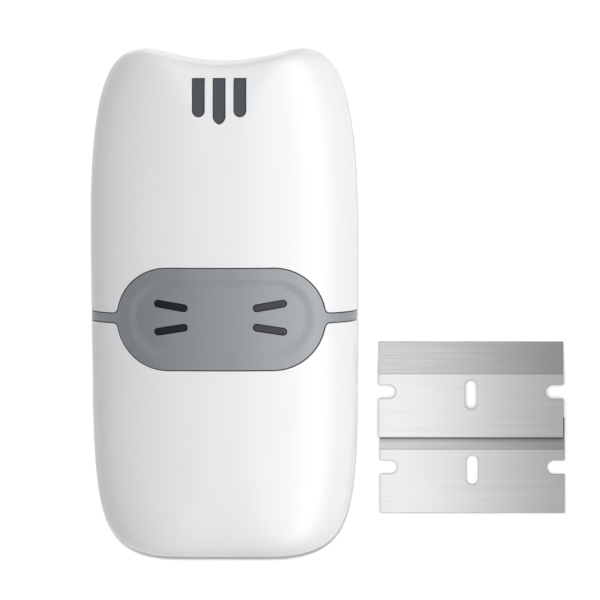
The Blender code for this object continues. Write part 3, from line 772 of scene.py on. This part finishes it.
def mixed(tree, share, first, second):
    """Mix of two values. Each is a socket or a number."""
    node = tree.nodes.new("ShaderNodeMix")
    node.data_type = "FLOAT"
    for slot, value in zip(node.inputs[:1] + node.inputs[2:4], (share, first, second)):
        if isinstance(value, (int, float)):
            slot.default_value = value
        else:
            tree.links.new(value, slot)
    return node.outputs[0]


def make_mould_grain():
    """Mottle is broad and soft, Grain is fine."""
    group, start, end = new_group(
        "mould_grain",
        [("Vector", "NodeSocketVector", None), ("Mottle Scale", "NodeSocketFloat", 90.0),
         ("Grain Scale", "NodeSocketFloat", 2500.0)],
        ["Mottle", "Grain"],
    )
    vector = start.outputs["Vector"]
    mottle = noise(group, vector, start.outputs["Mottle Scale"], MOTTLE_DETAIL)
    grain = noise(group, vector, start.outputs["Grain Scale"], GRAIN_DETAIL)
    group.links.new(mottle, end.inputs["Mottle"])
    group.links.new(grain, end.inputs["Grain"])
    return group


def make_brushing():
    """Long fine lines along X, with broader cloudy streaks."""
    group, start, end = new_group(
        "brushing",
        [("Vector", "NodeSocketVector", None), ("Line Scale", "NodeSocketFloat", 9000.0),
         ("Stretch", "NodeSocketFloat", BRUSH_STRETCH)],
        ["Lines", "Streaks"],
    )
    squeeze = group.nodes.new("ShaderNodeCombineXYZ")
    squeeze.inputs["Y"].default_value = 1
    squeeze.inputs["Z"].default_value = 1
    group.links.new(start.outputs["Stretch"], squeeze.inputs["X"])
    scaled = group.nodes.new("ShaderNodeVectorMath")
    scaled.operation = "MULTIPLY"
    group.links.new(start.outputs["Vector"], scaled.inputs[0])
    group.links.new(squeeze.outputs[0], scaled.inputs[1])
    vector = scaled.outputs["Vector"]
    lines = noise(group, vector, start.outputs["Line Scale"], LINE_DETAIL)
    broad = group.nodes.new("ShaderNodeMath")
    broad.operation = "MULTIPLY"
    group.links.new(start.outputs["Line Scale"], broad.inputs[0])
    broad.inputs[1].default_value = STREAK_SHARE
    streaks = noise(group, vector, broad.outputs[0], STREAK_DETAIL)
    group.links.new(lines, end.inputs["Lines"])
    group.links.new(streaks, end.inputs["Streaks"])
    return group


mould_grain = make_mould_grain()
brushing = make_brushing()
print("node groups:", [group.name for group in bpy.data.node_groups])

# %% [markdown]
# A finish is one Principled shader. Its colour and roughness move a little with the mottle, and
# a weak bump from the grain breaks up the reflections, as on the real surface.
#
# The plastics are a white gloss, a soft-touch grey and charcoal; the forehead's bars get the charcoal
# painted lighter, as painted light for the light they catch. The blades have three steels: for the flat,
# for the ground band, whose darker tone is a painted reflection, and a dark one for the sheared rim and the
# grind line. Each steel also gets painted shade where another piece comes close, by the Ambient Occlusion
# node.

# %% Materials
GRAIN_DEPTH = 0.00001
GRAIN_STRENGTH = 0.3
LINE_DEPTH = 0.000006
LINE_STRENGTH = 0.4
# Reach, depth and tone of the painted shade on steel where another piece comes close.
STEEL_SHADE_REACH = 0.0013
STEEL_SHADE_POWER = 4.0
PAINTED_SHADE_TONE = 0.02


def new_material(name):
    material = bpy.data.materials.new(name)
    material.use_nodes = True
    tree = material.node_tree
    return material, tree, tree.nodes["Principled BSDF"]


def placed_group(tree, group, **values):
    """The group in this tree, reading Object coordinates, with the named inputs set."""
    node = tree.nodes.new("ShaderNodeGroup")
    node.node_tree = group
    place = tree.nodes.new("ShaderNodeTexCoord")
    tree.links.new(place.outputs["Object"], node.inputs["Vector"])
    for label, value in values.items():
        node.inputs[label.replace("_", " ")].default_value = value
    return node


def colour_between(tree, share, first, second):
    """Colour mix by a share socket. The mix node has its colour sockets at 6 and 7."""
    node = tree.nodes.new("ShaderNodeMix")
    node.data_type = "RGBA"
    tree.links.new(share, node.inputs[0])
    node.inputs[6].default_value = (*first, 1)
    node.inputs[7].default_value = (*second, 1)
    return node.outputs[2]


def bump(tree, shader, height, strength, distance):
    node = tree.nodes.new("ShaderNodeBump")
    node.inputs["Strength"].default_value = strength
    node.inputs["Distance"].default_value = distance
    tree.links.new(height, node.inputs["Height"])
    tree.links.new(node.outputs["Normal"], shader.inputs["Normal"])


def painted_contact_shade(tree, reach, power):
    """Painted shade: 1 in the open, and less where another piece comes near."""
    near = tree.nodes.new("ShaderNodeAmbientOcclusion")
    near.inputs["Distance"].default_value = reach
    deepened = tree.nodes.new("ShaderNodeMath")
    deepened.operation = "POWER"
    tree.links.new(near.outputs["AO"], deepened.inputs[0])
    deepened.inputs[1].default_value = power
    return deepened.outputs[0]


def moulded(name, colours, roughness, gloss, mottle_scale, grain_scale):
    """Moulded plastic between two close colours and two close roughness values."""
    material, tree, shader = new_material(name)
    grain = placed_group(tree, mould_grain, Mottle_Scale=mottle_scale, Grain_Scale=grain_scale)
    mottle = grain.outputs["Mottle"]
    tree.links.new(colour_between(tree, mottle, *colours), shader.inputs["Base Color"])
    tree.links.new(mixed(tree, mottle, *roughness), shader.inputs["Roughness"])
    shader.inputs["Specular IOR Level"].default_value = gloss
    bump(tree, shader, grain.outputs["Grain"], GRAIN_STRENGTH, GRAIN_DEPTH)
    return material


def brushed_steel(name, tones, roughness, line_scale):
    """Steel between two close tones, with painted shade where another piece comes close."""
    material, tree, shader = new_material(name)
    brush = placed_group(tree, brushing, Line_Scale=line_scale)
    unshaded_tone = mixed(tree, brush.outputs["Streaks"], *tones)
    # Painted shade: the steel's colour turns dark where another piece comes close.
    unshaded_share = painted_contact_shade(tree, STEEL_SHADE_REACH, STEEL_SHADE_POWER)
    tree.links.new(mixed(tree, unshaded_share, PAINTED_SHADE_TONE, unshaded_tone), shader.inputs["Base Color"])
    tree.links.new(mixed(tree, brush.outputs["Lines"], *roughness), shader.inputs["Roughness"])
    shader.inputs["Metallic"].default_value = 1
    bump(tree, shader, brush.outputs["Lines"], LINE_STRENGTH, LINE_DEPTH)
    return material


WHITE_COLOURS = ((0.845, 0.852, 0.862), (0.872, 0.876, 0.882))
GREY_COLOURS = ((0.212, 0.226, 0.246), (0.234, 0.248, 0.267))
# The forehead's bars get the charcoal painted lighter: painted light for the light they catch.
CHARCOAL_PAINTED_LIGHTER_COLOURS = ((0.036, 0.047, 0.060), (0.043, 0.054, 0.067))
CHARCOAL_COLOURS = ((0.010, 0.013, 0.017), (0.015, 0.018, 0.022))

white_gloss = moulded(
    "white_moulding", WHITE_COLOURS, roughness=(0.27, 0.33), gloss=0.5, mottle_scale=70, grain_scale=1800
)
grey_soft = moulded(
    "grey_soft_touch", GREY_COLOURS, roughness=(0.36, 0.44), gloss=1.0, mottle_scale=160, grain_scale=7000
)
# The charcoal painted lighter, as painted light, for the forehead's bars.
charcoal_painted_lighter = moulded(
    "charcoal_painted_lighter_moulding", CHARCOAL_PAINTED_LIGHTER_COLOURS, roughness=(0.42, 0.50), gloss=0.5, mottle_scale=220, grain_scale=5000
)
charcoal = moulded(
    "charcoal_moulding", CHARCOAL_COLOURS, roughness=(0.28, 0.36), gloss=0.35, mottle_scale=220,
    grain_scale=5000
)
blade_face = brushed_steel(
    "blade_face_steel", tones=(0.65, 0.76), roughness=(0.26, 0.34), line_scale=9000
)
# The ground band's steel is rougher than the flat; its darker tone is a painted reflection.
blade_ground = brushed_steel(
    "blade_ground_steel_painted_darker", tones=(0.46, 0.60), roughness=(0.18, 0.26), line_scale=15000
)
blade_sheared = brushed_steel(
    "blade_sheared_steel", tones=(0.22, 0.34), roughness=(0.40, 0.50), line_scale=15000
)
pin_steel = brushed_steel(
    "pin_turned_steel", tones=(0.50, 0.60), roughness=(0.28, 0.36), line_scale=12000
)

# %% [markdown]
# Each piece now gets its finish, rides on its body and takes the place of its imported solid. The
# faces of a blade meet at slight angles, so there even a slight edge counts as sharp.

# %% Dress the pieces
BLADE_SHARP_ANGLE = math.radians(10)
BLADE_BODIES = {"spare_blade_upper": "upper_spare", "spare_blade_lower": "lower_spare", "blade": "handle"}

finish_piece(head_shell, "handle", "head_shell", "white_gloss", white_gloss)
finish_piece(foot_cap, "cap", "foot_cap", "white_gloss", white_gloss)
finish_piece(grip_band, "handle", "grip_band", "grey_matte", grey_soft)
finish_piece(forehead, "handle", "forehead_inlay", "charcoal_matte", charcoal_painted_lighter)
for word, piece in whiskers.items():
    finish_piece(piece, "handle", f"whisker_inlay_{word}", "charcoal_matte", charcoal)
finish_piece(core_rear, "handle", "core_rear", "charcoal_matte", charcoal)
finish_piece(core_front, "handle", "core_front", "charcoal_matte", charcoal)
finish_piece(clamp, "clamp", "blade_clamp", "charcoal_matte", charcoal)
finish_piece(pin, "handle", "clamp_hinge_pin", "pin_steel", pin_steel)
for node, piece in screws.items():
    finish_piece(piece, "handle", node, "pin_steel", pin_steel)
blade_finishes = (blade_face, blade_ground, blade_sheared)
for node, piece in blades.items():
    rides = BLADE_BODIES[node]
    finish_piece(piece, rides, node, "blade_steel", *blade_finishes, sharp_angle=BLADE_SHARP_ANGLE)

# %% [markdown]
# The set is a white table under a white room. The camera and the reflections see the table and the room as
# white, through Light Path, while the light that falls on the scraper stays at a plain level. The table
# also keeps a diffuse part, which holds the shadow at the foot, and right beside each piece its paint gets
# a little painted shadow.

# %% Table and room
TABLE_HALF = 3.0
TABLE_DROP = 0.00002
TABLE_BOUNCE = 0.5
# Reach and depth of the painted shadow on the table right beside each piece.
TABLE_SHADOW_REACH = 0.0012
TABLE_SHADOW_POWER = 1.0
TABLE_TONES = (0.69, 0.71)
TABLE_GLOW = 0.10
TABLE_MOTTLE = 4
TABLE_GRAIN = 900
TABLE_ROUGHNESS = 0.9
TABLE_GLOSS = 0.1


def seen_rays(tree):
    """1 for camera, glossy and transmission rays, 0 for the rest."""
    path = tree.nodes.new("ShaderNodeLightPath")
    total = path.outputs["Is Camera Ray"]
    for label in ("Is Glossy Ray", "Is Transmission Ray"):
        add = tree.nodes.new("ShaderNodeMath")
        add.operation = "ADD"
        add.use_clamp = True
        tree.links.new(total, add.inputs[0])
        tree.links.new(path.outputs[label], add.inputs[1])
        total = add.outputs[0]
    return total


def table_material():
    """White paint with painted shadow right beside the pieces, and a little even light for the rays that
    see it.
    """
    material, tree, shader = new_material("table_white")
    grain = placed_group(tree, mould_grain, Mottle_Scale=TABLE_MOTTLE, Grain_Scale=TABLE_GRAIN)
    paint = mixed(tree, grain.outputs["Mottle"], *TABLE_TONES)
    # Painted shadow: the paint turns darker right beside each piece.
    seen = mixed(tree, painted_contact_shade(tree, TABLE_SHADOW_REACH, TABLE_SHADOW_POWER), 0, paint)
    tree.links.new(mixed(tree, seen_rays(tree), TABLE_BOUNCE, seen), shader.inputs["Base Color"])
    shader.inputs["Roughness"].default_value = TABLE_ROUGHNESS
    shader.inputs["Specular IOR Level"].default_value = TABLE_GLOSS
    glow = tree.nodes.new("ShaderNodeEmission")
    tree.links.new(mixed(tree, seen_rays(tree), 0, TABLE_GLOW), glow.inputs["Strength"])
    both = tree.nodes.new("ShaderNodeAddShader")
    tree.links.new(shader.outputs[0], both.inputs[0])
    tree.links.new(glow.outputs[0], both.inputs[1])
    tree.links.new(both.outputs[0], tree.nodes["Material Output"].inputs["Surface"])
    return material


table_mesh = bmesh.new()
bmesh.ops.create_grid(table_mesh, x_segments=1, y_segments=1, size=TABLE_HALF)
bmesh.ops.translate(table_mesh, verts=table_mesh.verts[:], vec=(0, 0, -TABLE_DROP))
table = solid("table", table_mesh)
table.data.materials.append(table_material())

ROOM_LIGHT = 0.35
ROOM_SEEN = 1.0
room = bpy.data.worlds.new("white_room")
bpy.context.scene.world = room
room.use_nodes = True
room_tree = room.node_tree
sky = room_tree.nodes["Background"]
sky.inputs["Color"].default_value = (1, 1, 1, 1)
strength = mixed(room_tree, seen_rays(room_tree), ROOM_LIGHT, ROOM_SEEN)
room_tree.links.new(strength, sky.inputs["Strength"])

# %% [markdown]
# One large soft lamp stands to the right and towards the head. It makes the left flank darker than
# the right one. Its long shadow would cross the table, so light linking keeps it off the table,
# which has a lamp of its own nearly overhead. That one drops a short shadow just below the foot.
# The key lamp leaves out the spare blades too: their shine is what they mirror of cards and room.

# %% Lamps
BODY_CENTRE = Vector((0, 0, WIDEST_HEIGHT))
LAMP_DISTANCE = 1.3
KEY_RIGHT = math.radians(29)
KEY_HEADWARD = math.radians(7)
KEY_SIZE = (1.4, 2.8)
KEY_POWER = 20.5
OVERHEAD_RIGHT = math.radians(3.3)
OVERHEAD_HEADWARD = math.radians(6.3)
OVERHEAD_SIZE = (0.08, 0.05)
OVERHEAD_POWER = 18.0


def direction(right, headward):
    """Unit vector that leans right and towards the head from straight above the front."""
    return Vector((math.tan(right), math.tan(headward), 1)).normalized()


def aimed(made, place, target):
    """Puts a lamp or camera at its place, looking at the target, with the blades' edges level."""
    back = (place - target).normalized()
    up = back.cross(Vector((1, 0, 0))).normalized()
    right = up.cross(back)
    made.matrix_world = Matrix.Translation(place) @ Matrix((right, up, back)).transposed().to_4x4()
    bpy.context.scene.collection.objects.link(made)
    return made


def lamp(name, right, headward, size, power, state, listed):
    """Rectangular lamp that lights only the listed objects (INCLUDE) or all but them (EXCLUDE)."""
    light = bpy.data.lights.new(name, "AREA")
    light.shape = "RECTANGLE"
    light.size, light.size_y = size
    light.energy = power
    made = bpy.data.objects.new(name, light)
    lit = bpy.data.collections.new(f"{name}_lit")
    for number, item in enumerate(listed):
        lit.objects.link(item)
        lit.collection_objects[number].light_linking.link_state = state
    made.light_linking.receiver_collection = lit
    return aimed(made, BODY_CENTRE + direction(right, headward) * LAMP_DISTANCE, BODY_CENTRE)


spares = [blades["spare_blade_upper"], blades["spare_blade_lower"]]
lamp("key", KEY_RIGHT, KEY_HEADWARD, KEY_SIZE, KEY_POWER, "EXCLUDE", [table] + spares)
lamp("overhead", OVERHEAD_RIGHT, OVERHEAD_HEADWARD, OVERHEAD_SIZE, OVERHEAD_POWER, "INCLUDE", [table])

# %% [markdown]
# Polished steel shows nothing but its surroundings, and in an all-white room it would look blank.
# Photographers hang graded cards over it, and dark ones, called flags, beside gloss. One graded
# card hangs low over the blades and runs from bright to dark. One flag hangs high over the left
# of the body, and a bright card to the right gives it its long highlight. Only reflections see
# the cards, so they cast no shadow.

# %% Cards for the reflections
BLADE_CARD_LOW = (0.0285, -0.060, 0.012)
BLADE_CARD_HIGH = (0.110, 0.004, 0.012)
BLADE_CARD_BRIGHT = (0.030, 1.13)
BLADE_CARD_DARK = (0.076, 0.38)
SIDE_FLAG_LOW = (-0.81, -0.6, 0.5)
SIDE_FLAG_HIGH = (0.03, 0.6, 0.5)
SIDE_FLAG_DARK = (-0.13, 0.05)
SIDE_FLAG_BRIGHT = (0.03, 0.95)
SHINE_CARD_LOW = (0.16, -0.6, 0.5)
SHINE_CARD_HIGH = (0.80, 0.6, 0.5)
SHINE_CARD_DIM = (0.16, 1.0)
SHINE_CARD_BRIGHT = (0.38, 3.6)


def reflection_card(name, low, high, first, last):
    """A level card that only reflections see. First and last are each a place across and its tone."""
    mesh = bmesh.new()
    edges = first_loop(mesh, [low, (high[0], low[1], low[2]), high, (low[0], high[1], high[2])])
    bmesh.ops.contextual_create(mesh, geom=edges)
    card = solid(name, mesh)
    material, tree, shader = new_material(name)
    place = tree.nodes.new("ShaderNodeTexCoord")
    parts = tree.nodes.new("ShaderNodeSeparateXYZ")
    tree.links.new(place.outputs["Object"], parts.inputs[0])
    grade = tree.nodes.new("ShaderNodeMapRange")
    grade.interpolation_type = "SMOOTHSTEP"
    tree.links.new(parts.outputs["X"], grade.inputs["Value"])
    for label, value in zip(("From Min", "To Min", "From Max", "To Max"), first + last):
        grade.inputs[label].default_value = value
    shader.inputs["Base Color"].default_value = (0, 0, 0, 1)
    shader.inputs["Emission Color"].default_value = (1, 1, 1, 1)
    tree.links.new(grade.outputs[0], shader.inputs["Emission Strength"])
    card.data.materials.append(material)
    card.visible_camera = False
    card.visible_diffuse = False
    card.visible_shadow = False
    card.visible_transmission = False


reflection_card("blade_card", BLADE_CARD_LOW, BLADE_CARD_HIGH, BLADE_CARD_BRIGHT, BLADE_CARD_DARK)
reflection_card("side_flag", SIDE_FLAG_LOW, SIDE_FLAG_HIGH, SIDE_FLAG_DARK, SIDE_FLAG_BRIGHT)
reflection_card("shine_card", SHINE_CARD_LOW, SHINE_CARD_HIGH, SHINE_CARD_DIM, SHINE_CARD_BRIGHT)

# %% [markdown]
# The camera looks almost straight down through a long lens, from a little right of the middle and
# a little towards the head, as the photograph does.

# %% Camera
VIEW_TARGET = Vector((0.0157, 0.00025, WIDEST_HEIGHT))
VIEW_DISTANCE = 1.5
VIEW_FIELD = 0.1242
VIEW_RIGHT = math.radians(3.3)
VIEW_HEADWARD = math.radians(4.75)

lens = bpy.data.cameras.new("camera")
lens.lens = lens.sensor_width * VIEW_DISTANCE / VIEW_FIELD
view_place = VIEW_TARGET + direction(VIEW_RIGHT, VIEW_HEADWARD) * VIEW_DISTANCE
camera = aimed(bpy.data.objects.new("camera", lens), view_place, VIEW_TARGET)
bpy.context.scene.camera = camera
bpy.context.scene.view_settings.view_transform = "Standard"
